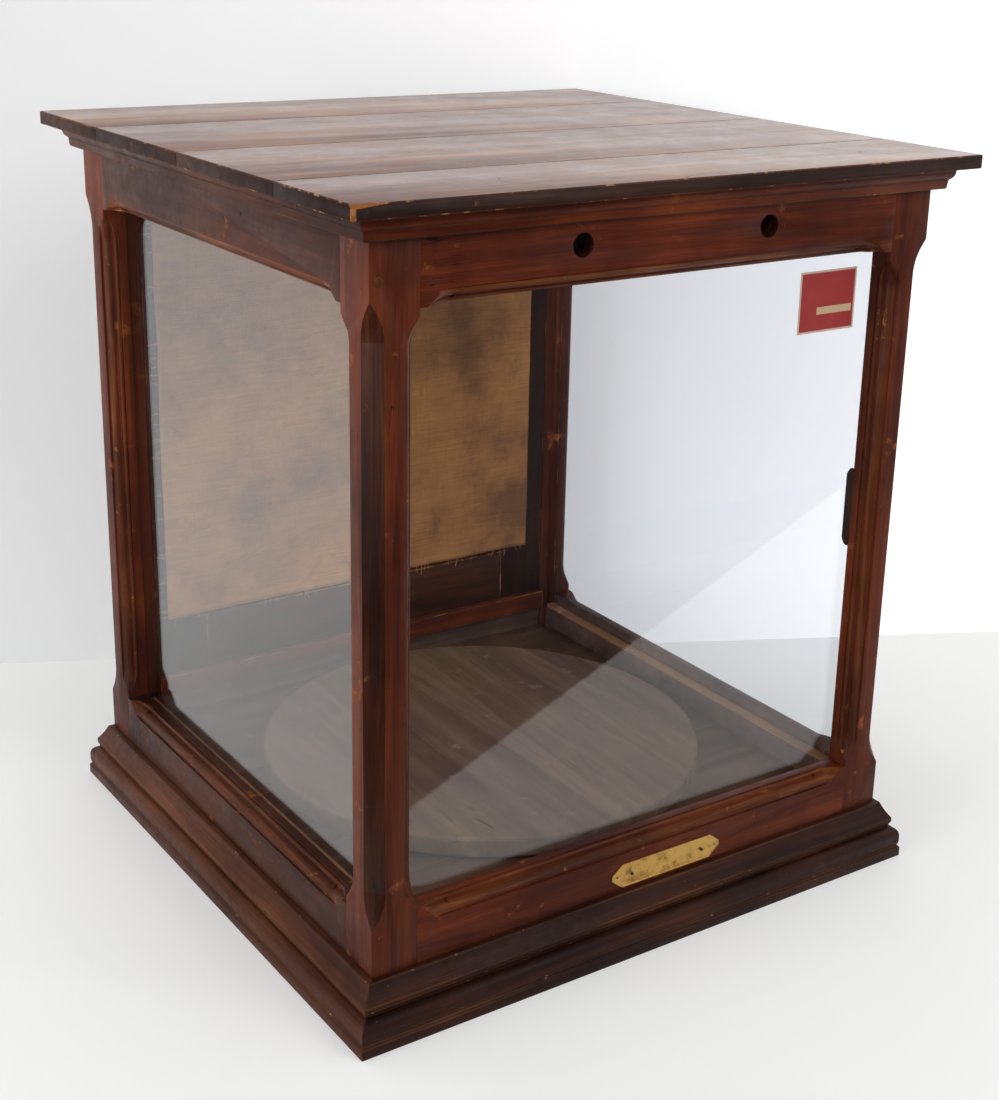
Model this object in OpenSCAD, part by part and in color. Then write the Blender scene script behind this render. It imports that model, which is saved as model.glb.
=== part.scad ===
// Shop-counter cheese safe: a glazed hardwood case on a stacked moulded base, with a back
// that opens as a door and a round board that turns on a centre pin.
// Millimetres. The origin is the middle of the footprint on the counter, the glazed front
// faces -Y and +Z is up.

/* [Case] */
// Width of the case over the posts
case_w = 560; // [440:10:700]
// Depth of the case over the posts
case_d = 540; // [440:10:700]
// Height from the counter to the underside of the top
case_h = 672.5; // [560:0.5:800]

/* [Top] */
// Thickness of the top boards
top_t = 12; // [8:1:24]
// Overhang of the top beyond the posts, all round
top_over = 29.3; // [24:0.1:45]
// Width of the front board of the glued-up top
top_front_w = 117.3; // [80:0.1:160]
// Width of the rear board of the glued-up top
top_rear_w = 139.3; // [80:0.1:160]

/* [Posts] */
// Side of a corner post
post_w = 42; // [38:0.5:52]
// Width of the hinge post on the side face, where its window runs further back
hinge_post_w = 29; // [29:0.5:42]
// Clearance under the foot of a post
post_foot = 4; // [1:0.5:8]
// Width of the outer chamfer, measured along each face
chamfer_w = 12.5; // [6:0.5:14]
// Length of the curved stop at each end of the chamfer
chamfer_run = 30; // [18:1:45]
// How far the chamfer's point passes the window head
chamfer_over = 7.8; // [0:0.1:15]
// How far the chamfer's point passes the window sill
chamfer_under = 5.4; // [0:0.1:15]

/* [Rails] */
// Thickness of the front and side rails
rail_t = 34.5; // [34.5:0.5:40]
// Height of the top rails
top_rail_h = 71.5; // [58:0.5:90]
// Height of the underside of the bottom rails above the counter
bottom_rail_z = 20; // [10:1:26]
// Height of the window sill above the counter
sill_z = 104.5; // [96:0.5:130]
// Depth from a rail's face to its tenon
tenon_in = 9; // [7:0.5:10]
// Thickness of the tenons
tenon_t = 10; // [6:0.5:11]
// Shoulder above and below each tenon
tenon_shoulder = 8; // [5:0.5:10]
// Clearance round a tenon in its mortise
joint_gap = 0.1; // [0.05:0.05:0.3]

/* [Window moulding] */
// Width of the moulded edge round a window
stick_w = 12.5; // [12:0.1:14]
// Depth of the step at the moulding's outer line
quirk = 2; // [1:0.1:2.5]
// Radius of the ovolo
ovolo_r = 7; // [5:0.1:7.5]
// Radius of the small bead next to the glass
fine_r = 2.1; // [1.6:0.1:2.3]
// Radius of the cutter path where the moulding runs out
stick_r = 35; // [25:1:50]
// Plain length between a run-out and the window corner
stick_stop = 3; // [1:0.5:8]

/* [Glass] */
// Depth of the glass behind the faces
lip_t = 21.5; // [18:0.5:21.5]
// Height of the rebate above and below the sight opening
rebate_h = 14; // [10:0.5:16]
// Thickness of a pane
pane_t = 3; // [2:0.5:4]
// Clearance at the edges of a pane
pane_play = 1; // [0.5:0.1:2]
// Putty line between a pane and the beads
bed = 0.2; // [0.1:0.05:0.4]
// Width of a glazing bead, front to back
bead_w = 9.8; // [6:0.1:9.8]
// Height of a glazing bead
bead_h = 4; // [3:0.5:9]
// Radius of the quarter-round corner beads
corner_bead = 6; // [4:0.5:9.5]

/* [Vent holes] */
// Diameter of the vent holes
vent_d = 19.3; // [12:0.1:26]
// Distance between the vent holes
vent_pitch = 188; // [100:1:260]
// Height of the vent holes above the window head
vent_up = 33.7; // [26:0.1:40]
// Side of the gauze squares behind the holes
gauze_w = 36; // [30:1:44]
// Thickness of the gauze
gauze_t = 0.8; // [0.4:0.1:1.5]

/* [Base] */
// Height of the plinth boards
plinth_h = 31; // [28:0.5:40]
// Projection of the plinth beyond the posts
plinth_out = 21.5; // [19:0.1:28]
// Height of the plinth's flat foot
plinth_foot = 9; // [5:0.5:12]
// Radius of the plinth's rounded top edge
plinth_r = 9.6; // [6:0.1:10]
// Height of the moulding above the plinth
base_h = 26.5; // [22:0.5:34]
// Projection of the moulding above the plinth
base_out = 14.3; // [12:0.1:18]

/* [Cornice] */
// Height of the cornice under the top
cornice_h = 18.9; // [14:0.1:24]
// Projection of the cornice beyond the posts
cornice_out = 14.5; // [12:0.1:20]

/* [Floor] */
// Height of the floor above the counter
floor_z = 68; // [56:0.5:68]
// Thickness of the floor boards
floor_t = 12; // [8:0.5:16]
// Number of floor boards
floor_count = 3; // [2:1:6]
// Gap round and between the floor boards
floor_gap = 0.4; // [0.2:0.1:1]
// Width of the bearers under the floor
bearer_w = 20; // [12:1:30]
// Height of the bearers under the floor
bearer_h = 12; // [8:1:18]

/* [Cheese board] */
// Diameter of the round board
board_d = 430; // [300:10:440]
// Thickness of the round board
board_t = 21; // [18:0.5:30]
// Rounding of the board's rim
board_round = 4; // [1:0.5:8]
// Diameter of the centre pin
pin_d = 12; // [8:1:16]
// Height of the centre pin above the floor
pin_up = 16; // [10:0.5:18]
// Radial clearance of the board on its pin
pin_play = 0.05; // [0.02:0.01:0.1]
// Diameter of the washer under the board
washer_d = 50; // [30:1:80]
// Thickness of the washer
washer_t = 2.8; // [1:0.1:5]
// Running gap between the washer and the board
washer_gap = 0.2; // [0.1:0.05:0.3]

/* [Rear door] */
// Thickness of the door, its rails' frame and the rear leg of the rear posts
door_t = 25; // [23:0.5:27]
// Gap at the hinge side, head and sill
door_gap = 0.6; // [0.4:0.1:1.5]
// Width of a door stile
stile_w = 55; // [45:1:80]
// Height of the door's top rail
door_top_h = 60; // [45:1:90]
// Height of the door's bottom rail
door_low_h = 75; // [50:1:110]
// Thickness of the door panel
panel_t = 10; // [6:0.5:11]
// Lap of the panel on the frame
panel_lap = 10; // [6:0.5:15]
// Clearance round the panel
panel_gap = 0.3; // [0.1:0.1:1]
// Thickness of the tenons in the door frame
door_tenon_t = 8; // [5:0.5:9]
// Length of the tenons in the door frame
door_tenon_l = 30; // [20:1:38]
// Thickness of the strips the door closes on
stop_t = 8; // [5:0.5:12]
// Lap of the strips over the door
stop_lap = 8; // [4:0.5:10]
// Height of the strips on the rails
stop_seat = 12; // [8:0.5:20]

/* [Hinges] */
// Length of a hinge
hinge_h = 60; // [40:1:80]
// Width of a hinge leaf
leaf_w = 22; // [14:0.5:22.5]
// Thickness of a hinge leaf
leaf_t = 1.6; // [1:0.1:2]
// Outer radius of the knuckles
knuckle_r = 3.2; // [2.6:0.1:4.5]
// Radius of the hinge pins
hinge_pin_r = 1.5; // [1:0.1:1.8]
// Radial clearance of the hinge pins
hinge_play = 0.04; // [0.02:0.01:0.1]
// Distance from the ends of the door to the hinges
hinge_in = 45; // [20:1:90]
// Number of knuckles on a hinge
knuckles = 5; // [3:2:7]

/* [Knob and turn button] */
// Diameter of the knob
knob_d = 26; // [18:1:30]
// How far the knob stands off the door
knob_out = 22; // [16:1:26]
// Height of the knob above the middle of the door
knob_up = 0; // [-60:5:60]
// Length of the turn button
button_l = 60; // [52:1:70]
// Width of the turn button
button_w = 14; // [10:1:18]
// Thickness of the turn button
button_t = 5; // [3:0.5:8]
// Height of the turn button above the knob
button_up = 80; // [50:1:120]
// Distance from the window side of the post to the button's screw
button_in = 12; // [10:0.5:16]
// Radius of the button's screw shank
screw_r = 2.2; // [1.5:0.1:3]
// Radius of the button's screw head
screw_head_r = 5; // [4:0.1:6]
// Thickness of the button's screw head
screw_head_t = 1.8; // [1:0.1:3]
// Length of the screw in the post
screw_in = 14; // [8:1:18]
// Clearance of the button from post, door and screw head
button_gap = 0.3; // [0.2:0.1:1]

/* [Plate, labels and clip] */
// Length of the brass plate
plate_w = 121.4; // [80:0.1:180]
// Height of the brass plate
plate_h = 22.5; // [16:0.1:24]
// Thickness of the brass plate
plate_t = 1.2; // [0.6:0.1:2]
// Length of the clipped ends of the plate
plate_clip = 11; // [6:0.5:20]
// Height of the blunt tips of the plate
plate_tip = 5; // [3:0.5:10]
// Distance of the plate to the right of the middle
plate_off = 20.75; // [-60:0.25:60]
// Gap between the base moulding and the plate
plate_up = 2.5; // [1:0.5:8]
// Radius of the turned lip along the plate's lower edge
plate_lip = 1.1; // [0.6:0.1:1.6]
// Radius of the pin holes in the plate
plate_hole = 0.9; // [0.5:0.1:1.5]
// Width of the paper label on the front pane
paper_w = 66; // [40:0.1:90]
// Height of the paper label
paper_h = 54.5; // [30:0.5:80]
// Thickness of the paper label
paper_t = 0.3; // [0.2:0.1:0.5]
// Distance of the paper label from the right window edge
paper_in = 18.3; // [15:0.1:120]
// Distance of the paper label from the window head
paper_down = 14.5; // [14:0.5:60]
// Thickness of the cloth on the door
cloth_t = 1; // [0.5:0.1:2]
// Distance of the cloth from the case side the door is hinged on
cloth_hinge_side = 65; // [40:1:120]
// Distance of the cloth from the other case side
cloth_latch_side = 55; // [40:1:120]
// Distance of the cloth from the window head
cloth_down = 11; // [10:0.5:40]
// Distance of the cloth from the window sill
cloth_up = 69; // [20:1:120]
// Width of the iron plate that keeps the right pane
clip_w = 15.5; // [12:0.5:40]
// Height of the iron plate
clip_h = 75; // [40:0.5:120]
// Thickness of the iron plate
clip_t = 3; // [1.5:0.5:5]
// Length of the cuts at its free corners, along the plate's height
clip_cut = 6; // [2:0.5:12]
// Height of the iron plate above the sill
clip_up = 211; // [100:1:300]
// Radius of the wooden peg in the front left post
peg_r = 4; // [2:0.5:5]
// Depth of the peg
peg_l = 12; // [8:1:16]
// Distance of the peg from the post's outer edge
peg_in = 7.9; // [6:0.1:12]
// Height of the peg above the window head
peg_up = 21.7; // [20:0.1:40]

/* [Hidden] */
$fn = 64;
eps = 1;
run_step = 0.03;
run_lead = 1;
tenon_web = 1;
head_z = case_h - top_rail_h;
ledge_z = sill_z - rebate_h;
soffit_z = head_z + rebate_h;
tenon_l = post_w - tenon_in - tenon_t - tenon_web;
chamfer_cut_d = chamfer_w / sqrt(2);
chamfer_r = (pow(chamfer_run, 2) + pow(chamfer_cut_d, 2)) / (2 * chamfer_cut_d);
step_w = 0.5;
fillet_h = 1;
fillet_w = 0.8;
fine_foot = 1.4;
fine_set = 1.3;
ovolo_a = stick_w - step_w;
ovolo_b = quirk + ovolo_r;
fillet_a = ovolo_a - ovolo_r - fillet_w;
fine_a = fillet_a - fine_set;
fine_b = ovolo_b + fillet_h + fine_r;
stick_deep = fine_b + fine_foot;
stick_diag = (stick_deep + fine_a - sqrt(pow(fine_r, 2) - pow(fine_foot, 2))) / sqrt(2);
stick_run = sqrt(pow(stick_r + stick_diag, 2) - pow(stick_r, 2));
stick_lead = stick_stop + stick_run;
base_top = plinth_h + base_h;
inner_line = lip_t + pane_t + bed;
board_z = floor_z + washer_t + washer_gap;
knuckle_off = 0.2;
knuckle_gap = 0.1;
knuckle_out = knuckle_r + knuckle_off;
latch_gap = door_gap + pow(door_t + knuckle_out, 2) / (2 * (case_w - 2 * post_w));
door_x0 = post_w + door_gap;
door_x1 = case_w - post_w - latch_gap;
door_z0 = sill_z + door_gap;
door_z1 = head_z - door_gap;
door_tenon_in = (door_t - panel_t - door_tenon_t) / 2;
hinge_x = post_w + door_gap / 2;
knob_x = door_x1 - stile_w / 2;
knob_z = (sill_z + head_z) / 2 + knob_up;
button_x = case_w - post_w + button_in;
button_z = knob_z + button_up;
peg_fit = 0.02;
dowel_r = knob_d / 6;
dowel_in = 0.7 * door_t;
knob_neck = 0.3 * knob_out;
knob_foot_r = 0.36 * knob_d;
knob_neck_r = 0.22 * knob_d;
dark_wood = [0.30, 0.13, 0.09];
red_wood = [0.42, 0.19, 0.13];
top_wood = [0.36, 0.27, 0.22];
pale_wood = [0.66, 0.58, 0.46];
raw_wood = [0.55, 0.42, 0.28];
brass_col = [0.68, 0.54, 0.26];
iron_col = [0.16, 0.15, 0.15];
glass_col = [0.80, 0.88, 0.86, 0.35];

// Faces are numbered 0 front, 1 right, 2 rear, 3 left.
function face_len(i) = i % 2 == 0 ? case_w : case_d;

function arc(c, r, a0, a1, n) =
  [for (k = [0 : n]) c + r * [cos(a0 + (a1 - a0) * k / n), sin(a0 + (a1 - a0) * k / n)]];

// A face's own frame: x along it, y into the case, z up.
module on_face(i)
  rotate(90 * i)
    translate([-face_len(i) / 2, -face_len(i + 1) / 2, 0])
      children();

module left_side()
  mirror([1, 0, 0])
    children();

// Waste of the window moulding: x from the window edge along the face, y into the wood.
module stick_2d()
  difference() {
    union() {
      translate([-eps, -eps])
        square([stick_w + eps, quirk + eps]);
      translate([-eps, -eps])
        square([ovolo_a + eps, ovolo_b + eps]);
      translate([-eps, -eps])
        square([fillet_a + eps, ovolo_b + fillet_h + eps]);
      translate([-eps, -eps])
        square([fine_a + eps, stick_deep + eps]);
    }
    translate([ovolo_a, ovolo_b])
      circle(r = ovolo_r);
    translate([fine_a, fine_b])
      circle(r = fine_r);
  }

// The same cutter lifting out of the wood on an arc, diagonally away from the window edge.
// It bites a hair deeper than the straight cut and starts a degree early, as a hand-set
// cutter does, which leaves a clean line where the two meet.
module stick_end()
  translate([run_step - stick_r / sqrt(2), run_step - stick_r / sqrt(2), 0])
    rotate([90, 0, 45])
      rotate(-run_lead)
        rotate_extrude(angle = 90, $fn = 96)
          translate([stick_r, 0])
            mirror([0, 1])
              rotate(-45)
                stick_2d();

module stick_cut(len) {
  translate([0, 0, stick_lead])
    linear_extrude(len - 2 * stick_lead)
      stick_2d();
  translate([0, 0, len - stick_lead])
    stick_end();
  translate([0, 0, stick_lead])
    mirror([0, 0, 1])
      stick_end();
}

module chamfer_end()
  rotate([90, 0, 45])
    translate([chamfer_cut_d - chamfer_r + run_step, 0, 0])
      rotate(-run_lead)
        rotate_extrude(angle = 60, $fn = 180)
          translate([chamfer_r - chamfer_cut_d - eps, -chamfer_w])
            square([chamfer_cut_d + eps, 2 * chamfer_w]);

module chamfer_cut() {
  low = sill_z - chamfer_under + chamfer_run;
  high = head_z + chamfer_over - chamfer_run;
  rotate(45)
    translate([chamfer_cut_d - chamfer_w, -chamfer_w, low])
      cube([chamfer_w, 2 * chamfer_w, high - low]);
  translate([0, 0, high])
    chamfer_end();
  translate([0, 0, low])
    mirror([0, 0, 1])
      chamfer_end();
}

// The two tenon heights, low end and high end, on every post and rail.
function tenon_z(top) = top
  ? [soffit_z + tenon_shoulder, case_h - tenon_shoulder]
  : [bottom_rail_z + tenon_shoulder, ledge_z - tenon_shoulder];

// Mortise in a post that is w wide on this face.
module mortise(top, w) {
  z = tenon_z(top);
  translate([w - tenon_l - joint_gap, tenon_in - joint_gap, z[0] - joint_gap])
    cube([tenon_l + eps, tenon_t + 2 * joint_gap, z[1] - z[0] + 2 * joint_gap]);
}

// A corner post standing with its outer corner at the origin, side_w wide on the side face.
module post(rear, side_w) {
  leg = rear ? door_t : lip_t;
  difference() {
    translate([0, 0, post_foot])
      cube([post_w, side_w, case_h - post_foot]);
    translate([lip_t, leg, ledge_z])
      cube([post_w, post_w, soffit_z - ledge_z]);
    for (top = [false, true]) {
      mortise(top, post_w);
      mirror([1, -1, 0])
        mortise(top, side_w);
    }
    chamfer_cut();
    if (!rear)
      translate([post_w, 0, sill_z])
        mirror([1, 0, 0])
          stick_cut(head_z - sill_z);
    translate([0, side_w, sill_z])
      rotate(-90)
        stick_cut(head_z - sill_z);
  }
}

// A rail with its tenons, from a post_w wide post to one that is far_w wide.
module rail_blank(len, far_w, t, low, high, top) {
  z = tenon_z(top);
  clear = len - post_w - far_w;
  translate([post_w, 0, low])
    cube([clear, t, high - low]);
  translate([post_w - tenon_l, tenon_in, z[0]])
    cube([clear + 2 * tenon_l, tenon_t, z[1] - z[0]]);
}

module top_rail(len, far_w) {
  clear = len - post_w - far_w;
  difference() {
    rail_blank(len, far_w, rail_t, head_z, case_h, true);
    translate([post_w - eps, lip_t, head_z - eps])
      cube([clear + 2 * eps, rail_t, rebate_h + eps]);
    translate([len - far_w, 0, head_z])
      rotate([0, -90, 0])
        stick_cut(clear);
  }
}

module bottom_rail(len, far_w) {
  clear = len - post_w - far_w;
  difference() {
    rail_blank(len, far_w, rail_t, bottom_rail_z, sill_z, false);
    translate([post_w - eps, lip_t, ledge_z])
      cube([clear + 2 * eps, rail_t, rebate_h + eps]);
    translate([post_w, 0, sill_z])
      rotate([0, 90, 0])
        stick_cut(clear);
  }
}

module vent_axes()
  for (s = [-1, 1])
    translate([case_w / 2 + s * vent_pitch / 2, 0, head_z + vent_up])
      children();

// Upper and lower bead of a window whose beads run from x0 to x1.
module bead_pair(x0, x1)
  for (z = [ledge_z, soffit_z - bead_h])
    translate([x0, inner_line, z])
      cube([x1 - x0, bead_w, bead_h]);

module quarter_round(h)
  linear_extrude(h)
    intersection() {
      square(corner_bead);
      circle(r = corner_bead);
    }

// A mitred length of moulding on face i, from its section: x outward, y up.
module mitred(i, out) {
  len = face_len(i);
  m = out + eps;
  on_face(i)
    intersection() {
      translate([len + m, 0, 0])
        rotate([90, 0, -90])
          linear_extrude(len + 2 * m)
            children();
      linear_extrude(case_h + eps)
        polygon([[0, 0], [len, 0], [len + m, -m], [-m, -m]]);
    }
}

// A flat foot, a groove above it, and a rounded top edge.
module plinth_section() {
  shoulder = plinth_out - 0.9;
  groove = [1, plinth_foot + 2, 1, 2.4];
  polygon(concat(
    [[0, 0], [plinth_out, 0], [plinth_out, plinth_foot], [shoulder - groove[0], groove[1]],
     [shoulder - groove[0], groove[1] + groove[2]],
     [shoulder, groove[1] + groove[2] + groove[3]]],
    arc([shoulder - plinth_r, plinth_h - plinth_r], plinth_r, 0, 80, 8),
    [[shoulder - plinth_r, plinth_h], [0, plinth_h]]));
}

// A small step on the plinth, an upright nose, and a slightly bowed slope up to the rails.
module base_section() {
  step = 1.7;
  nose = 5;
  low = [base_out, plinth_h + 0.34 * base_h];
  high = [0.36 * base_out, base_top - step];
  bow = 0.6;
  inward = [low[1] - high[1], high[0] - low[0]] / norm(high - low);
  polygon(concat(
    [[0, plinth_h], [base_out - step, plinth_h], [base_out - step, plinth_h + step],
     [base_out, plinth_h + nose]],
    [for (k = [0 : 6]) low + (high - low) * k / 6 + bow * sin(30 * k) * inward],
    [[0, base_top]]));
}

// A fillet at the foot and an ovolo that rounds out to the top board.
module cornice_section() {
  foot = case_h - cornice_h;
  fillet = [0.62 * cornice_out, 0.66 * cornice_out, 0.9];
  round_r = 8;
  round_up = 4;
  polygon(concat(
    [[0, case_h], [0, foot], [fillet[0], foot], [fillet[1], foot + fillet[2]]],
    arc([cornice_out - round_r, case_h - round_up], round_r, -62, 0, 6),
    [[cornice_out, case_h]]));
}

// The top is glued up from four boards that run from side to side.
top_y = [-top_over, top_front_w - top_over,
         (case_d + top_front_w - top_rear_w) / 2, case_d + top_over - top_rear_w,
         case_d + top_over];

module top_board(k)
  color(top_wood)
    on_face(0)
      translate([-top_over, top_y[k], case_h])
        cube([case_w + 2 * top_over, top_y[k + 1] - top_y[k], top_t]);

module post_front_left()
  color(red_wood)
    on_face(0)
      difference() {
        post(false, post_w);
        translate([peg_in, -eps, head_z + peg_up])
          rotate([-90, 0, 0])
            cylinder(r = peg_r + peg_fit, h = peg_l + peg_fit + eps);
      }

module post_front_right()
  color(red_wood)
    left_side()
      on_face(0)
        post(false, post_w);

module rear_post_blank(side_w)
  mirror([0, 1, 0])
    on_face(0)
      post(true, side_w);

module post_rear_left()
  color(red_wood)
    difference() {
      rear_post_blank(post_w);
      on_face(2)
        button_screw_hole();
    }

module post_rear_right()
  color(red_wood)
    difference() {
      left_side()
        rear_post_blank(hinge_post_w);
      on_face(2)
        hinge_seats();
    }

module top_rail_front()
  color(red_wood)
    on_face(0)
      difference() {
        top_rail(case_w, post_w);
        vent_axes()
          rotate([-90, 0, 0])
            translate([0, 0, -eps])
              cylinder(d = vent_d, h = rail_t + 2 * eps);
      }

module top_rail_right()
  color(red_wood)
    on_face(1)
      top_rail(case_d, hinge_post_w);

module top_rail_left()
  color(red_wood)
    left_side()
      on_face(1)
        top_rail(case_d, post_w);

module top_rail_rear()
  color(red_wood)
    on_face(2)
      rail_blank(case_w, post_w, door_t, head_z, case_h, true);

module bottom_rail_front()
  color(red_wood)
    on_face(0)
      bottom_rail(case_w, post_w);

module bottom_rail_right()
  color(red_wood)
    on_face(1)
      bottom_rail(case_d, hinge_post_w);

module bottom_rail_left()
  color(red_wood)
    left_side()
      on_face(1)
        bottom_rail(case_d, post_w);

module bottom_rail_rear()
  color(red_wood)
    on_face(2)
      rail_blank(case_w, post_w, door_t, bottom_rail_z, sill_z, false);

// A pane stands on the ledge of its rebate, between x0 and x1 of its face.
module pane(x0, x1)
  color(glass_col)
    translate([x0, lip_t, ledge_z])
      cube([x1 - x0, pane_t, soffit_z - ledge_z - pane_play]);

module pane_front()
  on_face(0)
    pane(lip_t + pane_play, case_w - lip_t - pane_play);

module pane_right()
  on_face(1)
    pane(inner_line, case_d - door_t - pane_play);

module pane_left()
  left_side()
    pane_right();

module beads_front()
  color(pale_wood)
    on_face(0)
      bead_pair(inner_line + corner_bead, case_w - inner_line - corner_bead);

// The side beads butt against the backs of the front ones.
module beads_right()
  color(pale_wood)
    on_face(1)
      bead_pair(inner_line + max(bead_w, corner_bead), case_d - door_t - corner_bead);

module beads_left()
  left_side()
    beads_right();

// Quarter rounds that hold the panes' upright edges, two at the front and two at the rear.
module corner_beads() {
  h = soffit_z - ledge_z;
  color(dark_wood)
    for (s = [0, 1])
      mirror([s, 0, 0])
        on_face(0) {
          translate([inner_line, inner_line, ledge_z])
            quarter_round(h);
          translate([inner_line, case_d - door_t, ledge_z])
            mirror([0, 1, 0])
              quarter_round(h);
        }
}

module floor_boards() {
  x0 = rail_t + floor_gap;
  y0 = rail_t + floor_gap;
  w = case_w - 2 * x0;
  d = (case_d - door_t - rail_t) / floor_count;
  notch = post_w + floor_gap;
  color(raw_wood)
    on_face(0)
      difference() {
        for (k = [0 : floor_count - 1])
          translate([x0, y0 + k * d, floor_z - floor_t])
            cube([w, d - 2 * floor_gap, floor_t]);
        for (x = [0, case_w - notch], y = [0, case_d - notch])
          translate([x, y, floor_z - floor_t - eps])
            cube([notch, notch, floor_t + 2 * eps]);
        translate([case_w / 2, case_d / 2, floor_z - floor_t - eps])
          cylinder(d = pin_d + 2 * peg_fit, h = floor_t + 2 * eps);
      }
}

module floor_bearers()
  color(raw_wood)
    for (s = [0, 1])
      mirror([s, 0, 0])
        on_face(1)
          translate([post_w, rail_t, floor_z - floor_t - bearer_h])
            cube([case_d - 2 * post_w, bearer_w, bearer_h]);

module plinth(i)
  color(dark_wood)
    mitred(i, plinth_out)
      plinth_section();

module base_moulding(i)
  color(dark_wood)
    mitred(i, base_out)
      base_section();

module cornice(i)
  color(dark_wood)
    mitred(i, cornice_out)
      cornice_section();

module vent_gauze()
  color(iron_col)
    on_face(0)
      vent_axes()
        translate([-gauze_w / 2, rail_t, -gauze_w / 2])
          cube([gauze_w, gauze_t, gauze_w]);

module name_plate()
  color(brass_col)
    on_face(0)
      translate([case_w / 2 + plate_off, 0, base_top + plate_up])
        rotate([90, 0, 0])
          difference() {
            union() {
              linear_extrude(plate_t)
                plate_outline();
              translate([-plate_w / 2 + plate_clip, plate_lip, plate_t])
                rotate([0, 90, 0])
                  cylinder(r = plate_lip, h = plate_w - 2 * plate_clip, $fn = 24);
            }
            for (s = [-1, 1])
              translate([s * (plate_w / 2 - plate_clip / 2), plate_h / 2, -eps])
                cylinder(r = plate_hole, h = plate_t + 2 * eps, $fn = 24);
            translate([-plate_w / 2, 0, -plate_lip * 2])
              cube([plate_w, plate_h, plate_lip * 2]);
          }

module plate_outline() {
  low = (plate_h - plate_tip) / 2;
  x0 = plate_w / 2 - plate_clip;
  x1 = plate_w / 2;
  polygon([[-x0, 0], [x0, 0], [x1, low], [x1, plate_h - low], [x0, plate_h],
           [-x0, plate_h], [-x1, plate_h - low], [-x1, low]]);
}

module post_peg()
  color(pale_wood)
    on_face(0)
      translate([peg_in, 0, head_z + peg_up])
        rotate([-90, 0, 0])
          cylinder(r = peg_r, h = peg_l);

module paper_label()
  color([0.62, 0.20, 0.15])
    on_face(0)
      translate([case_w - post_w - paper_in - paper_w, lip_t - paper_t,
                 head_z - paper_down - paper_h])
        cube([paper_w, paper_t, paper_h]);

// Bedded on the right pane and butted on the front corner bead, with its free corners cut.
module pane_clip() {
  cut_in = 0.6 * clip_cut;
  color(iron_col)
    on_face(1)
      translate([inner_line + corner_bead, lip_t + pane_t + clip_t, sill_z + clip_up])
        rotate([90, 0, 0])
          linear_extrude(clip_t)
            polygon([[0, 0], [clip_w - cut_in, 0], [clip_w, clip_cut], [clip_w, clip_h - clip_cut],
                     [clip_w - cut_in, clip_h], [0, clip_h]]);
}

module pivot_pin()
  color(iron_col)
    translate([0, 0, floor_z - floor_t])
      cylinder(d = pin_d, h = floor_t + pin_up);

module pivot_washer()
  color(brass_col)
    translate([0, 0, floor_z])
      difference() {
        cylinder(d = washer_d, h = washer_t);
        translate([0, 0, -eps])
          cylinder(r = pin_d / 2 + pin_play, h = washer_t + 2 * eps);
      }

module cheese_board()
  color(pale_wood)
    translate([0, 0, board_z])
      difference() {
        rotate_extrude($fn = 180)
          board_section();
        translate([0, 0, -eps])
          cylinder(r = pin_d / 2 + pin_play, h = pin_up - washer_t + 1 + eps);
      }

module board_section() {
  r = board_d / 2 - board_round;
  square([r, board_t]);
  translate([0, board_round])
    square([board_d / 2, board_t - 2 * board_round]);
  for (z = [board_round, board_t - board_round])
    translate([r, z])
      circle(r = board_round, $fn = 32);
}

// Strips on the rear rails that the door closes against.
module door_stops()
  color(dark_wood)
    on_face(2)
      for (z = [head_z - stop_lap, sill_z - stop_seat])
        translate([post_w, door_t, z])
          cube([case_w - 2 * post_w, stop_t, stop_lap + stop_seat]);

module panel_box(grow)
  translate([door_x0 + stile_w - panel_lap - grow, door_t - panel_t,
             door_z0 + door_low_h - panel_lap - grow])
    cube([door_x1 - door_x0 - 2 * stile_w + 2 * panel_lap + 2 * grow, panel_t + grow,
          door_z1 - door_z0 - door_low_h - door_top_h + 2 * panel_lap + 2 * grow]);

// The tenons of the door's top and bottom rail, grown where they are cut as mortises.
module door_tenons(grow) {
  h = [door_low_h - 2 * tenon_shoulder - panel_lap, door_top_h - 2 * tenon_shoulder - panel_lap];
  z = [door_z0 + tenon_shoulder, door_z1 - tenon_shoulder - h[1]];
  for (k = [0, 1])
    translate([door_x0 + stile_w - door_tenon_l - grow, door_tenon_in - grow, z[k] - grow])
      cube([door_x1 - door_x0 - 2 * stile_w + 2 * door_tenon_l + 2 * grow,
            door_tenon_t + 2 * grow, h[k] + 2 * grow]);
}

module door_stile(x)
  difference() {
    translate([x, 0, door_z0])
      cube([stile_w, door_t, door_z1 - door_z0]);
    panel_box(panel_gap);
    door_tenons(joint_gap);
  }

module door_rail(z, h, k)
  difference() {
    union() {
      translate([door_x0 + stile_w, 0, z])
        cube([door_x1 - door_x0 - 2 * stile_w, door_t, h]);
      intersection() {
        door_tenons(0);
        translate([0, 0, z])
          cube([case_w, door_t, h]);
      }
    }
    panel_box(panel_gap);
  }

module door_stile_hinge()
  color(red_wood)
    on_face(2)
      difference() {
        door_stile(door_x0);
        hinge_seats();
      }

module door_stile_latch()
  color(red_wood)
    on_face(2)
      difference() {
        door_stile(door_x1 - stile_w);
        translate([knob_x, 0, knob_z])
          rotate([-90, 0, 0])
            translate([0, 0, -eps])
              cylinder(r = dowel_r + peg_fit, h = dowel_in + peg_fit + eps);
      }

module door_rail_top()
  color(red_wood)
    on_face(2)
      door_rail(door_z1 - door_top_h, door_top_h);

module door_rail_bottom()
  color(red_wood)
    on_face(2)
      door_rail(door_z0, door_low_h);

module door_panel()
  color(red_wood)
    on_face(2)
      panel_box(0);

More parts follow.
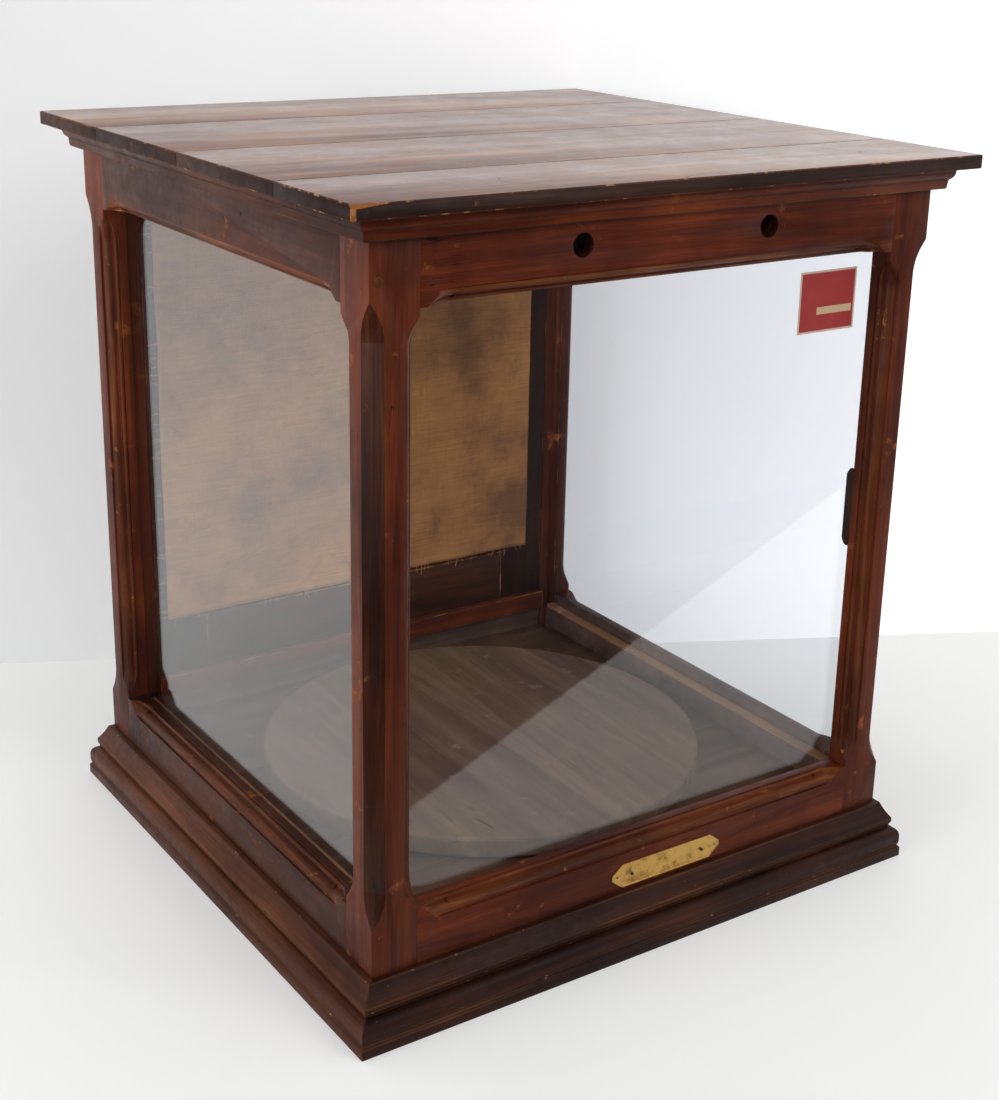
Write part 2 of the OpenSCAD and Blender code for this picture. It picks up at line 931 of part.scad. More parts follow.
module cloth_panel()
  color([0.62, 0.52, 0.38])
    on_face(2)
      translate([cloth_hinge_side, door_t, sill_z + cloth_up])
        cube([case_w - cloth_hinge_side - cloth_latch_side, cloth_t, head_z - cloth_down - sill_z - cloth_up]);

function hinge_low(k) = k == 0 ? door_z0 + hinge_in : door_z1 - hinge_in - hinge_h;

// Recesses for the leaves, in the post's edge and in the door's edge.
module hinge_seats()
  for (k = [0, 1])
    translate([post_w - leaf_t, -eps, hinge_low(k)])
      cube([2 * leaf_t + door_gap, leaf_w + eps, hinge_h]);

// One side of a hinge: a leaf at x0 with every other knuckle, the first one at number first.
module hinge_side(x0, first) {
  step = hinge_h / knuckles;
  for (k = [0, 1])
    translate([0, 0, hinge_low(k)])
      difference() {
        union() {
          translate([x0, 0, 0])
            cube([leaf_t, leaf_w, hinge_h]);
          for (n = [first : 2 : knuckles - 1])
            translate([0, 0, n * step + knuckle_gap / 2]) {
              translate([x0, -knuckle_out, 0])
                cube([leaf_t, knuckle_out + leaf_w / 2, step - knuckle_gap]);
              translate([hinge_x, -knuckle_out, 0])
                cylinder(r = knuckle_r, h = step - knuckle_gap);
            }
        }
        translate([hinge_x, -knuckle_out, -eps])
          cylinder(r = hinge_pin_r + hinge_play, h = hinge_h + 2 * eps);
      }
}

module hinge_leaves_post()
  color(iron_col)
    on_face(2)
      hinge_side(post_w - leaf_t, 0);

module hinge_leaves_door()
  color(iron_col)
    on_face(2)
      hinge_side(post_w + door_gap, 1);

module hinge_pins()
  color(iron_col)
    on_face(2)
      for (k = [0, 1])
        translate([hinge_x, -knuckle_out, hinge_low(k)])
          cylinder(r = hinge_pin_r, h = hinge_h);

// A turned knob with its dowel glued in the latch stile.
module door_knob()
  color(dark_wood)
    on_face(2)
      translate([knob_x, 0, knob_z])
        rotate([90, 0, 0]) {
          translate([0, 0, -dowel_in])
            cylinder(r = dowel_r, h = dowel_in + knob_neck);
          cylinder(r1 = knob_foot_r, r2 = knob_neck_r, h = knob_neck);
          intersection() {
            translate([0, 0, knob_out - knob_d / 2])
              sphere(d = knob_d);
            translate([0, 0, 0.8 * knob_neck])
              cylinder(d = knob_d, h = knob_out - 0.8 * knob_neck);
          }
        }

module button_screw_hole()
  translate([button_x, 0, button_z])
    rotate([-90, 0, 0])
      translate([0, 0, -eps])
        cylinder(r = screw_r + peg_fit, h = screw_in + peg_fit + eps);

// At rest the button stands upright beside the door; a quarter turn laps it over the stile.
module turn_button()
  color(brass_col)
    on_face(2)
      translate([button_x, -button_gap, button_z])
        rotate([90, 0, 0])
          difference() {
            union() {
              translate([-button_w / 2, -(button_l - button_w) / 2, 0])
                cube([button_w, button_l - button_w, button_t]);
              for (s = [-1, 1])
                translate([0, s * (button_l - button_w) / 2, 0])
                  cylinder(d = button_w, h = button_t);
            }
            translate([0, 0, -eps])
              cylinder(r = screw_r + pin_play, h = button_t + 2 * eps);
          }

module turn_button_screw()
  color(brass_col)
    on_face(2)
      translate([button_x, 0, button_z])
        rotate([90, 0, 0]) {
          translate([0, 0, -screw_in])
            cylinder(r = screw_r, h = screw_in + button_t + 2 * button_gap + screw_head_t);
          translate([0, 0, button_t + 2 * button_gap])
            cylinder(r = screw_head_r, h = screw_head_t);
        }

post_front_left();
post_front_right();
post_rear_left();
post_rear_right();
top_rail_front();
top_rail_left();
top_rail_right();
top_rail_rear();
bottom_rail_front();
bottom_rail_left();
bottom_rail_right();
bottom_rail_rear();
pane_front();
pane_left();
pane_right();
beads_front();
beads_left();
beads_right();
corner_beads();
floor_boards();
floor_bearers();
plinth(0);  // plinth_front
plinth(1);  // plinth_right
plinth(2);  // plinth_rear
plinth(3);  // plinth_left
base_moulding(0);  // base_moulding_front
base_moulding(1);  // base_moulding_right
base_moulding(2);  // base_moulding_rear
base_moulding(3);  // base_moulding_left
cornice(0);  // cornice_front
cornice(1);  // cornice_right
cornice(2);  // cornice_rear
cornice(3);  // cornice_left
top_board(0);  // top_board_front
top_board(1);  // top_board_inner_front
top_board(2);  // top_board_inner_rear
top_board(3);  // top_board_rear
vent_gauze();
name_plate();
post_peg();
paper_label();
pane_clip();
pivot_pin();
pivot_washer();
cheese_board();
door_stops();
door_stile_hinge();
door_stile_latch();
door_rail_top();
door_rail_bottom();
door_panel();
cloth_panel();
hinge_leaves_post();
hinge_leaves_door();
hinge_pins();
door_knob();
turn_button();
turn_button_screw();
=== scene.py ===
import math
import random

import bpy
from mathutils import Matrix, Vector


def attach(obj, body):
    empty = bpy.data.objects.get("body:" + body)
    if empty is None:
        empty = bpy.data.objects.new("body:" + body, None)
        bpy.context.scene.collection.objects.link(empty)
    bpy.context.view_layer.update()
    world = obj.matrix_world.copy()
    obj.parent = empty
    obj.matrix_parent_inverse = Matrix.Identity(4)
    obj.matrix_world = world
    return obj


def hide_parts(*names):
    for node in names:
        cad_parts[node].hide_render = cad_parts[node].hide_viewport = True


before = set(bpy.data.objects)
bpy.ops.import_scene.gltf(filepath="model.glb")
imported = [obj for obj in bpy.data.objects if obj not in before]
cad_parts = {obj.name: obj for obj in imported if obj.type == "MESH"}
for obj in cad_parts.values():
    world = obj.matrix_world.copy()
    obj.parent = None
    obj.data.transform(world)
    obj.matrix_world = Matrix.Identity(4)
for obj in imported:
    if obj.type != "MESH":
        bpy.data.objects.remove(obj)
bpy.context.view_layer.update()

# The view: a little over a metre and a half from the near corner, at the height of a
# standing person's chest, with a short telephoto lens.
view_data = bpy.data.cameras.new("near_corner_view")
view_data.sensor_width = 36.0
view_data.lens = 57.4
view_data.shift_x = -0.03666
view_data.shift_y = -0.0586
view = bpy.data.objects.new("near_corner_view", view_data)
bpy.context.scene.collection.objects.link(view)
view.location = (-0.87849, -1.33080, 0.87638)
view.rotation_euler = [math.radians(a) for a in (71.77, -1.50, -34.77)]
bpy.context.scene.camera = view
bpy.context.scene.view_settings.view_transform = "Standard"


# The ground that the safe stands on and the board behind it: white photographer's paper on a
# table. The paper stops just in front of the picture's edge and the room beyond it is dark,
# which the front pane and the varnish on the front show.
def linear(hex_text):
    """A colour written as sRGB hex, such as "7a4a32", in Blender's linear values."""
    parts = [int(hex_text[i:i + 2], 16) / 255 for i in (0, 2, 4)]
    return [p / 12.92 if p <= 0.04045 else ((p + 0.055) / 1.055) ** 2.4 for p in parts] + [1.0]


def add_node(tree, kind, links=None, values=None, **settings):
    """Adds a shader node with its settings, its sockets' values and its incoming links."""
    made = tree.nodes.new(kind)
    for key, value in settings.items():
        setattr(made, key, value)
    for key, value in (values or {}).items():
        made.inputs[key].default_value = value
    for key, source in (links or {}).items():
        tree.links.new(source, made.inputs[key])
    return made


def new_material(name):
    """A material with an empty node tree, and that tree."""
    material = bpy.data.materials.new(name)
    material.use_nodes = True
    material.node_tree.nodes.clear()
    return material, material.node_tree


def paper_material(name, hex_text, left_glow, right_glow):
    """Matt white paper. For the camera, glass and varnish it also glows, a painted light that
    makes it lighter than what it gives back to the room and rises towards its right-hand
    end. From behind it lets the view through."""
    material, tree = new_material(name)
    path = add_node(tree, "ShaderNodeLightPath")
    seen = add_node(tree, "ShaderNodeMath",
                    {0: path.outputs["Is Camera Ray"], 1: path.outputs["Is Glossy Ray"]},
                    operation="MAXIMUM")
    seen = add_node(tree, "ShaderNodeMath",
                    {0: seen.outputs[0], 1: path.outputs["Is Transmission Ray"]},
                    operation="MAXIMUM")
    place = add_node(tree, "ShaderNodeTexCoord").outputs["Object"]
    across = add_node(tree, "ShaderNodeSeparateXYZ", {0: place})
    level = add_node(tree, "ShaderNodeMapRange", {"Value": across.outputs["X"]},
                     {"From Min": -0.6, "From Max": 0.5, "To Min": left_glow, "To Max": right_glow})
    strength = add_node(tree, "ShaderNodeMath", {0: seen.outputs[0], 1: level.outputs[0]},
                        operation="MULTIPLY")
    body = add_node(tree, "ShaderNodeBsdfPrincipled", {"Emission Strength": strength.outputs[0]},
                    {"Base Color": linear(hex_text), "Roughness": 0.9,
                     "Emission Color": linear(hex_text)})
    behind = add_node(tree, "ShaderNodeNewGeometry").outputs["Backfacing"]
    clear = add_node(tree, "ShaderNodeBsdfTransparent")
    one_sided = add_node(tree, "ShaderNodeMixShader",
                         {0: behind, 1: body.outputs[0], 2: clear.outputs[0]})
    add_node(tree, "ShaderNodeOutputMaterial", {"Surface": one_sided.outputs[0]})
    return material


def flat_sheet(name, width, depth, middle):
    """A level plane of a real size, with its middle at a place."""
    bpy.ops.object.select_all(action="DESELECT")
    bpy.ops.mesh.primitive_plane_add(size=1.0)
    made = bpy.context.object
    made.name = name
    bpy.ops.object.mode_set(mode="EDIT")
    bpy.ops.transform.resize(value=(width, depth, 1.0))
    bpy.ops.transform.translate(value=middle)
    bpy.ops.object.mode_set(mode="OBJECT")
    return made


# The ground's edge is the line through this point; what lies in front of it is cut away.
ground = flat_sheet("paper_ground", 6.0, 4.2, (0.0, 0.6, 0.0))
bpy.ops.object.mode_set(mode="EDIT")
bpy.ops.mesh.select_all(action="SELECT")
bpy.ops.mesh.bisect(plane_co=(0.093, -0.612, 0.0), plane_no=(0.433, 0.902, 0.0), clear_inner=True)
bpy.ops.object.mode_set(mode="OBJECT")
ground.data.materials.append(paper_material("white_paper_ground", "ececea", 0.2, 0.3))

backdrop_height = 3.2
backdrop = flat_sheet("paper_backdrop", 6.0, backdrop_height, (0.0, 0.0, 0.0))
backdrop.rotation_euler = (math.radians(90), 0, math.radians(-26.75))
backdrop.location = (0.262, 0.331, backdrop_height / 2)
backdrop.data.materials.append(paper_material("white_paper_backdrop", "f2f2f2", 0.02, 0.6))

# Wool carpet, dark brown and without shine, a table's height below the paper.
carpet = flat_sheet("room_floor", 14.0, 14.0, (0.0, 0.0, -0.75))
carpet_material, carpet_tree = new_material("dark_carpet")
carpet_body = add_node(carpet_tree, "ShaderNodeBsdfPrincipled", None,
                       {"Base Color": linear("38302b"), "Roughness": 0.95})
add_node(carpet_tree, "ShaderNodeOutputMaterial", {"Surface": carpet_body.outputs[0]})
carpet.data.materials.append(carpet_material)

# The light: a white room that lights the safe from all round, a low window on the left and
# another high in front, both big enough to leave soft shadows.
room = bpy.data.worlds.new("white_room")
bpy.context.scene.world = room
room.use_nodes = True
room.node_tree.nodes.clear()
room_light = add_node(room.node_tree, "ShaderNodeBackground", None,
                      {"Color": linear("f6f8fb"), "Strength": 0.62})
add_node(room.node_tree, "ShaderNodeOutputWorld", {"Surface": room_light.outputs[0]})


def window_light(name, place, size, power):
    """A square lamp that points at the middle of the safe."""
    data = bpy.data.lights.new(name, "AREA")
    data.shape = "SQUARE"
    data.size = size
    data.energy = power
    lamp = bpy.data.objects.new(name, data)
    bpy.context.scene.collection.objects.link(lamp)
    lamp.location = place
    towards = Vector((0, 0, 0.3)) - Vector(place)
    lamp.rotation_euler = towards.to_track_quat("-Z", "Y").to_euler()


window_light("left_window", (-2.4, -0.3, 0.8), 1.5, 28)
window_light("front_window", (0.9, -2.6, 2.2), 1.6, 26)


# The frame of the case: four corner posts and eight rails of a close-grained hardwood such as
# cherry, tenoned together, stained red-brown and varnished. Stopped chamfers run down the outer
# arrises and stopped mouldings round the windows, where years of handling have worn the stain
# and a painted highlight lightens the curved moulded faces.
def select_only(piece):
    """Makes a piece the active object and the only selected one."""
    bpy.ops.object.select_all(action="DESELECT")
    piece.select_set(True)
    bpy.context.view_layer.objects.active = piece


def dressed_copy(node, bevel, cut_angle=28):
    """A copy of a CAD node with merged, flat faces and softly broken arrises. The arrises
    take the second of its materials."""
    select_only(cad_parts[node])
    bpy.ops.object.duplicate()
    piece = bpy.context.object
    piece.name = "dressed_" + node
    piece.data.materials.clear()
    bpy.ops.object.mode_set(mode="EDIT")
    bpy.ops.mesh.select_all(action="SELECT")
    bpy.ops.mesh.remove_doubles(threshold=0.00001)
    bpy.ops.mesh.customdata_custom_splitnormals_clear()
    bpy.ops.mesh.dissolve_limited(angle_limit=math.radians(0.3))
    bpy.ops.object.mode_set(mode="OBJECT")
    soften = piece.modifiers.new("broken_arris", "BEVEL")
    soften.width = bevel
    soften.segments = 2
    soften.limit_method = "ANGLE"
    soften.angle_limit = math.radians(cut_angle)
    soften.material = 1
    soften.use_clamp_overlap = True
    return piece


def finish_piece(piece, node, body, *materials):
    """Gives the copy its materials, applies its modifiers and sets it in the CAD node's place."""
    for material in materials:
        piece.data.materials.append(material)
    select_only(piece)
    for modifier in list(piece.modifiers):
        bpy.ops.object.modifier_apply(modifier=modifier.name)
    bpy.ops.object.shade_smooth_by_angle(angle=math.radians(35))
    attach(piece, body)
    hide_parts(node)
    return piece


def wood_colours(tree, grain, figure_mm, dark, middle, light, shift):
    """Long-grained wood: broad figure, and fine lines drawn 1.1 mm apart, coarser than the real
    pores so that they show. Gives the place, the colour with a few drying cracks, and the
    fine lines for the bump. Places are in metres, so a scale is 1000 over its millimetres."""
    line_mm = 1.1
    place = add_node(tree, "ShaderNodeTexCoord").outputs["Object"]
    along = {"X": 0, "Y": 1, "Z": 2}[grain]
    stretch = [1000 / figure_mm] * 3
    stretch[along] = 1000 / (figure_mm * 16)
    slow = add_node(tree, "ShaderNodeMapping", {"Vector": place},
                    {"Scale": stretch, "Location": [shift] * 3})
    figure = add_node(tree, "ShaderNodeTexNoise", {"Vector": slow.outputs[0]},
                      {"Scale": 1.0, "Detail": 4.0, "Roughness": 0.55, "Distortion": 0.9})
    stretch = [1000 / line_mm] * 3
    stretch[along] = 1000 / (line_mm * 45)
    quick = add_node(tree, "ShaderNodeMapping", {"Vector": place},
                     {"Scale": stretch, "Location": [shift] * 3})
    lines = add_node(tree, "ShaderNodeTexNoise", {"Vector": quick.outputs[0]},
                     {"Scale": 1.0, "Detail": 5.0, "Roughness": 0.62, "Distortion": 0.25})
    both = add_node(tree, "ShaderNodeMix", {"A": figure.outputs[0], "B": lines.outputs[0]},
                    {"Factor": 0.34})
    ramp = add_node(tree, "ShaderNodeValToRGB", {0: both.outputs[0]})
    ramp.color_ramp.elements[0].position = 0.3
    ramp.color_ramp.elements[0].color = linear(dark)
    ramp.color_ramp.elements[1].position = 0.72
    ramp.color_ramp.elements[1].color = linear(light)
    ramp.color_ramp.elements.new(0.5).color = linear(middle)
    split = add_node(tree, "ShaderNodeMath", {0: figure.outputs[0]}, {1: 0.52, 2: 0.0035},
                     operation="COMPARE")
    here = add_node(tree, "ShaderNodeTexNoise", {"Vector": place}, {"Scale": 1000 / 91, "Detail": 1.0})
    here = add_node(tree, "ShaderNodeMapRange", {"Value": here.outputs[0]},
                    {"From Min": 0.58, "From Max": 0.64, "To Min": 0.0, "To Max": 0.8})
    crack = add_node(tree, "ShaderNodeMath", {0: split.outputs[0], 1: here.outputs[0]},
                     operation="MULTIPLY")
    cracked = add_node(tree, "ShaderNodeMix", {"Factor": crack.outputs[0], "A": ramp.outputs[0]},
                       {"B": linear("120907")}, data_type="RGBA")
    return place, cracked.outputs[2], lines.outputs[0]


def varnished_wood(name, grain, dark, middle, light, rubbed, shift, rub=0.62, gloss=0.34, figure_mm=16,
                   patch_mm=29.4, coat=0.0, fade=(0.6, 1.35), foot=0.68, shine=0.18, scratched=False):
    """Stained and varnished hardwood. The stain lies darkest in the grain, and where the patchy
    noise passes the rub level it is worn back to the rubbed colour. Over a hand's width it
    fades from purple-brown to orange-brown. Its colour is also scaled by height, a painted
    shade towards the foot of the case and a painted light near its top. A scratched piece
    has a few curved dark cuts."""
    material, tree = new_material(name)
    place, stained, lines = wood_colours(tree, grain, figure_mm, dark, middle, light, shift)
    patches = add_node(tree, "ShaderNodeTexNoise", {"Vector": place},
                       {"Scale": 1000 / patch_mm, "Detail": 6.0, "Roughness": 0.68})
    worn = add_node(tree, "ShaderNodeMapRange", {"Value": patches.outputs[0]},
                    {"From Min": rub, "From Max": rub + 0.1, "To Min": 0.0, "To Max": 0.85})
    faded = add_node(tree, "ShaderNodeTexNoise", {"Vector": place},
                     {"Scale": 1000 / 154, "Detail": 4.0, "Roughness": 0.6})
    tone = add_node(tree, "ShaderNodeValToRGB", {0: faded.outputs[0]})
    tone.color_ramp.elements[0].position = 0.38
    tone.color_ramp.elements[0].color = (fade[0], fade[0] * 0.86, fade[0] * 0.98, 1.0)
    tone.color_ramp.elements[1].position = 0.64
    tone.color_ramp.elements[1].color = (fade[1], fade[1] * 0.92, fade[1] * 0.78, 1.0)
    toned = add_node(tree, "ShaderNodeMix", {"A": stained, "B": tone.outputs[0]},
                     {"Factor": 1.0}, data_type="RGBA", blend_type="MULTIPLY")
    # Painted shade and light by height: darker low on the case, a little lighter near its top.
    height = add_node(tree, "ShaderNodeSeparateXYZ", {0: place}).outputs["Z"]
    height_shade = add_node(tree, "ShaderNodeMapRange", {"Value": height},
                     {"From Min": 0.08, "From Max": 0.62, "To Min": foot, "To Max": 1.14})
    height_shaded = add_node(tree, "ShaderNodeMix", {"A": toned.outputs[2], "B": height_shade.outputs[0]},
                      {"Factor": 1.0}, data_type="RGBA", blend_type="MULTIPLY")
    colour = add_node(tree, "ShaderNodeMix", {"Factor": worn.outputs[0], "A": height_shaded.outputs[2]},
                      {"B": linear(rubbed)}, data_type="RGBA")
    if scratched:
        for turn, low, high in ((0.7, 0.52, 0.55), (-1.1, 0.47, 0.44)):
            turned = add_node(tree, "ShaderNodeMapping", {"Vector": place},
                              {"Rotation": (0, 0, turn), "Scale": (1000 / 333, 1000 / 100, 1)})
            bent = add_node(tree, "ShaderNodeTexNoise", {"Vector": turned.outputs[0]},
                            {"Scale": 1.0, "Detail": 0.0})
            cut = add_node(tree, "ShaderNodeMath", {0: bent.outputs[0]}, {1: 0.5, 2: 0.0016},
                           operation="COMPARE")
            where = add_node(tree, "ShaderNodeMapRange", {"Value": faded.outputs[0]},
                             {"From Min": low, "From Max": high, "To Min": 0.0, "To Max": 0.65})
            cut = add_node(tree, "ShaderNodeMath", {0: cut.outputs[0], 1: where.outputs[0]},
                           operation="MULTIPLY")
            colour = add_node(tree, "ShaderNodeMix", {"Factor": cut.outputs[0], "A": colour.outputs[2]},
                              {"B": linear("2a1c16")}, data_type="RGBA")
    dull = add_node(tree, "ShaderNodeMapRange", {"Value": patches.outputs[0]},
                    {"From Min": 0.35, "From Max": 0.7, "To Min": gloss, "To Max": gloss + 0.22})
    bump = add_node(tree, "ShaderNodeBump", {"Height": lines}, {"Strength": 0.35, "Distance": 0.0004})
    dents = add_node(tree, "ShaderNodeBump", {"Height": patches.outputs[0], "Normal": bump.outputs[0]},
                     {"Strength": 0.25, "Distance": 0.0012})
    body = add_node(tree, "ShaderNodeBsdfPrincipled",
                    {"Base Color": colour.outputs[2], "Roughness": dull.outputs[0],
                     "Normal": dents.outputs[0]},
                    {"IOR": 1.4, "Specular IOR Level": shine, "Coat Weight": coat,
                     "Coat Roughness": 0.16})
    add_node(tree, "ShaderNodeOutputMaterial", {"Surface": body.outputs[0]})
    return material


# Varnished cherry: a deep red-brown, softly streaked along the grain, with a satin shine.
# The copy for the side rails and cornice sides (grain Y) is darker, a painted shade on the side faces.
case_stain = {}
for grain, dark, middle, light, shift in (("X", "3a170c", "622c19", "88411f", 0.3),
                                          ("Y", "2a130c", "45251a", "5e3623", 3.1),
                                          ("Z", "341409", "5a2a19", "7c3c20", 7.7)):
    case_stain[grain] = varnished_wood("varnished_cherry_" + grain.lower(), grain, dark, middle, light,
                                       "a8602c", shift)
# The same cherry along its arrises, rubbed through to a lighter orange-brown.
case_arris = {}
for grain, shift in (("X", 0.3), ("Y", 3.1), ("Z", 7.7)):
    case_arris[grain] = varnished_wood("rubbed_arris_" + grain.lower(), grain, "3c190d", "743a1d",
                                       "a25c2a", "c48848", shift, rub=0.5, gloss=0.4)
# The window mouldings: a golden line round the glass, partly stain thinned by polishing and
# partly a painted highlight where the curved faces would catch the light.
moulding_wear_and_highlight = {}
for grain, dark, middle, light, shift in (("X", "38190a", "6c391b", "96602e", 1.3),
                                          ("Y", "38190a", "66361a", "8c582a", 4.1),
                                          ("Z", "30150a", "532a17", "754320", 8.7)):
    moulding_wear_and_highlight[grain] = varnished_wood("golden_moulding_" + grain.lower(), grain, dark, middle, light,
                                         "bc8446", shift, rub=0.64, gloss=0.32, patch_mm=16.67,
                                         figure_mm=9)
# The chamfers and the vent bores, nearly black; in the vent bores the near-black is painted
# shade inside the holes.
dark_chamfer_and_bore_shade = varnished_wood("near_black_chamfer_and_bore_shade", "Z", "150906", "33190f", "56301a", "8d5a30", 7.7,
                               rub=0.66, gloss=0.3)
# The rails' faces inside the case, grey and without shine under dust.
dusty_inside = varnished_wood("dusty_inside", "X", "3a2b28", "55433d", "6b574e", "7d685c", 3.3,
                              rub=0.66, gloss=0.6, foot=1.0)

frame_grain = {
    "post_front_left": "Z", "post_front_right": "Z", "post_rear_left": "Z", "post_rear_right": "Z",
    "top_rail_front": "X", "top_rail_rear": "X", "bottom_rail_front": "X", "bottom_rail_rear": "X",
    "top_rail_left": "Y", "top_rail_right": "Y", "bottom_rail_left": "Y", "bottom_rail_right": "Y",
}
arris_slot, worn_highlit_moulding_slot, chamfer_and_bore_shade_slot, dusty_slot = 1, 2, 3, 4
vent_x, vent_z, vent_reach = 0.094, 0.6347, 0.0105
for node, grain in frame_grain.items():
    piece = finish_piece(dressed_copy(node, 0.0005), node, "case", case_stain[grain], case_arris[grain],
                         moulding_wear_and_highlight[grain], dark_chamfer_and_bore_shade, dusty_inside)
    outward_x = ("right" in node) - ("left" in node)
    outward_y = ("rear" in node) - ("front" in node)
    for face in piece.data.polygons:
        outward = min(face.normal.x * outward_x, face.normal.y * outward_y)
        from_vent = math.dist((abs(face.center.x), face.center.z), (vent_x, vent_z))
        if face.material_index == arris_slot:
            continue
        if grain == "Z" and outward > 0.2:
            face.material_index = chamfer_and_bore_shade_slot
        # The faces inside the vent bores take the near-black: painted shade inside the holes.
        elif node == "top_rail_front" and from_vent < vent_reach:
            face.material_index = chamfer_and_bore_shade_slot
        # Curved moulded faces take the golden stain: worn stain and a painted highlight.
        elif max(abs(c) for c in face.normal) < 0.985:
            face.material_index = worn_highlit_moulding_slot
        elif grain != "Z" and outward < -0.9:
            face.material_index = dusty_slot


# The stacked base and the cornice: mitred mouldings planted round the case. The base is darker
# than the frame, in its own stain and in the painted shade that darkens the varnished wood low
# on the case, and bare nicks run along the edges.

# Old varnish under grime: brown going on black, dull in the hollows.
# Its copy for the sides (grain Y) is lighter, a painted light on the side faces of the base.
moulding_stain = {}
for grain, dark, middle, light, shift in (("X", "1c0c08", "3c1e13", "5a3220", 5.3),
                                          ("Y", "2c150c", "57301e", "7c4a30", 9.1)):
    moulding_stain[grain] = varnished_wood("dark_moulding_" + grain.lower(), grain, dark, middle, light,
                                           "a8835c", shift, rub=0.68, gloss=0.38, patch_mm=11.1)
# The same along the edges, with specks of bare wood a few millimetres long.
moulding_arris = {}
for grain, shift in (("X", 5.3), ("Y", 9.1)):
    moulding_arris[grain] = varnished_wood("nicked_arris_" + grain.lower(), grain, "2c170c", "56341e",
                                           "7e5230", "b48a5c", shift, rub=0.62, gloss=0.45,
                                           patch_mm=8.33)
for kind in ("plinth", "base_moulding", "cornice"):
    for side, grain in (("front", "X"), ("rear", "X"), ("left", "Y"), ("right", "Y")):
        node = kind + "_" + side
        # The cornice takes the lighter frame stain: painted light that lifts it out of the shade under the
        # top.
        stain = case_stain if kind == "cornice" else moulding_stain
        finish_piece(dressed_copy(node, 0.0008, 20), node, "case", stain[grain], moulding_arris[grain])


# The top: four boards glued edge to edge, the varnish rubbed grey-brown and scratched by what
# has stood on it, nearly black round the edges. A wedge has split off the front left corner
# and shows the bare wood.
case_half_x, case_half_y, overhang, top_height = 0.280, 0.270, 0.0293, 0.6845


def narrow_seams(piece, share):
    """Breaks the arrises between the boards by only a share of those round the outside."""
    piece.modifiers[0].limit_method = "WEIGHT"
    mesh = piece.data
    weights = mesh.attributes.new("bevel_weight_edge", "FLOAT", "EDGE")
    for edge in mesh.edges:
        ends = [mesh.vertices[i].co for i in edge.vertices]
        outside = any(all(abs(abs(end[axis]) - half) < 0.0005 for end in ends)
                      for axis, half in ((0, case_half_x + overhang), (1, case_half_y + overhang)))
        weights.data[edge.index].value = 1.0 if outside else share


def split_off(piece, corner, reach, slot):
    """Cuts a corner off along the plane that meets its three edges at these reaches, and gives
    the break its own material slot."""
    select_only(piece)
    bpy.ops.object.mode_set(mode="EDIT")
    bpy.ops.mesh.select_all(action="SELECT")
    across = Vector((-1 / reach[0], -1 / reach[1], 1 / reach[2])).normalized()
    bpy.ops.mesh.bisect(plane_co=corner + Vector((reach[0], 0, 0)), plane_no=across, use_fill=True,
                        clear_outer=True)
    piece.active_material_index = slot
    bpy.ops.mesh.select_mode(type="FACE")
    bpy.ops.object.material_slot_assign()
    bpy.ops.object.mode_set(mode="OBJECT")


# Rubbed varnish: a grey-brown that takes a pale haze from the room at a low angle.
top_stain = varnished_wood("rubbed_top", "X", "4c3024", "84604c", "ac8a74", "c4a486", 2.2, rub=0.7,
                           gloss=0.3, figure_mm=34, coat=0.43, patch_mm=38.5, fade=(0.76, 1.22),
                           shine=0.4, scratched=True)
# Its arrises, chipped to light wood here and there.
top_arris = varnished_wood("chipped_top_edge", "X", "2a1810", "4a2c1e", "6e4530", "c08a4c", 2.2,
                           rub=0.54, gloss=0.5, patch_mm=14.3)
# Its edges all round, nearly black.
top_side = varnished_wood("dark_top_side", "X", "1a100d", "33211b", "4c342a", "8d5c38", 6.2,
                          rub=0.64, gloss=0.42, patch_mm=16.67)
# Split wood without varnish: a bright orange tan, quite matt.
broken_wood = varnished_wood("broken_bare_wood", "X", "5a2e14", "b0743a", "d9a464", "ecc48a", 1.9,
                             rub=0.6, gloss=0.8, figure_mm=5, patch_mm=3.33)
side_slot, break_slot = 2, 3
for node in ("top_board_front", "top_board_inner_front", "top_board_inner_rear", "top_board_rear"):
    board = dressed_copy(node, 0.0011)
    narrow_seams(board, 0.12)
    finish_piece(board, node, "case", top_stain, top_arris, top_side, broken_wood)
    for face in board.data.polygons:
        if abs(face.normal.z) < 0.3:
            face.material_index = side_slot
broken_corner = Vector((-case_half_x - overhang, -case_half_y - overhang, top_height))
for reach in ((0.003, 0.0022, -0.05), (0.036, 0.0055, 0.0036)):
    split_off(bpy.data.objects["dressed_top_board_front"], broken_corner, reach, break_slot)


# The rear door: framed and panelled in the same wood, hung on two iron butts, with stop strips
# nailed to the rails behind it. Its upright pieces have the darkest stain of the safe.
moulding_stain["Z"] = varnished_wood("dark_moulding_z", "Z", "190d09", "341d14", "50301f", "a07c5a",
                                     7.9, rub=0.68, gloss=0.38, patch_mm=11.1)
for node, grain in (("door_stile_hinge", "Z"), ("door_stile_latch", "Z"), ("door_rail_top", "X"),
                    ("door_rail_bottom", "X"), ("door_panel", "X")):
    finish_piece(dressed_copy(node, 0.0006), node, "rear_door", moulding_stain[grain], case_arris[grain])
finish_piece(dressed_copy("door_knob", 0.0004), "door_knob", "rear_door", moulding_stain["Y"],
             moulding_arris["Y"])
finish_piece(dressed_copy("door_stops", 0.0006), "door_stops", "case", case_stain["X"], case_arris["X"])


# Bare wood inside: the floor boards and their bearers, the glazing beads, and the round board,
# which is scrubbed pale. The beads in front and in the corners are stained like the case.

# Unvarnished floor boards, brown with age and quite dull.
bare_floor = varnished_wood("bare_floor_boards", "X", "3a291f", "54402f", "6b5342", "7c6450", 1.4,
                            rub=0.6, gloss=0.7, figure_mm=20, foot=1.0, fade=(0.8, 1.15))
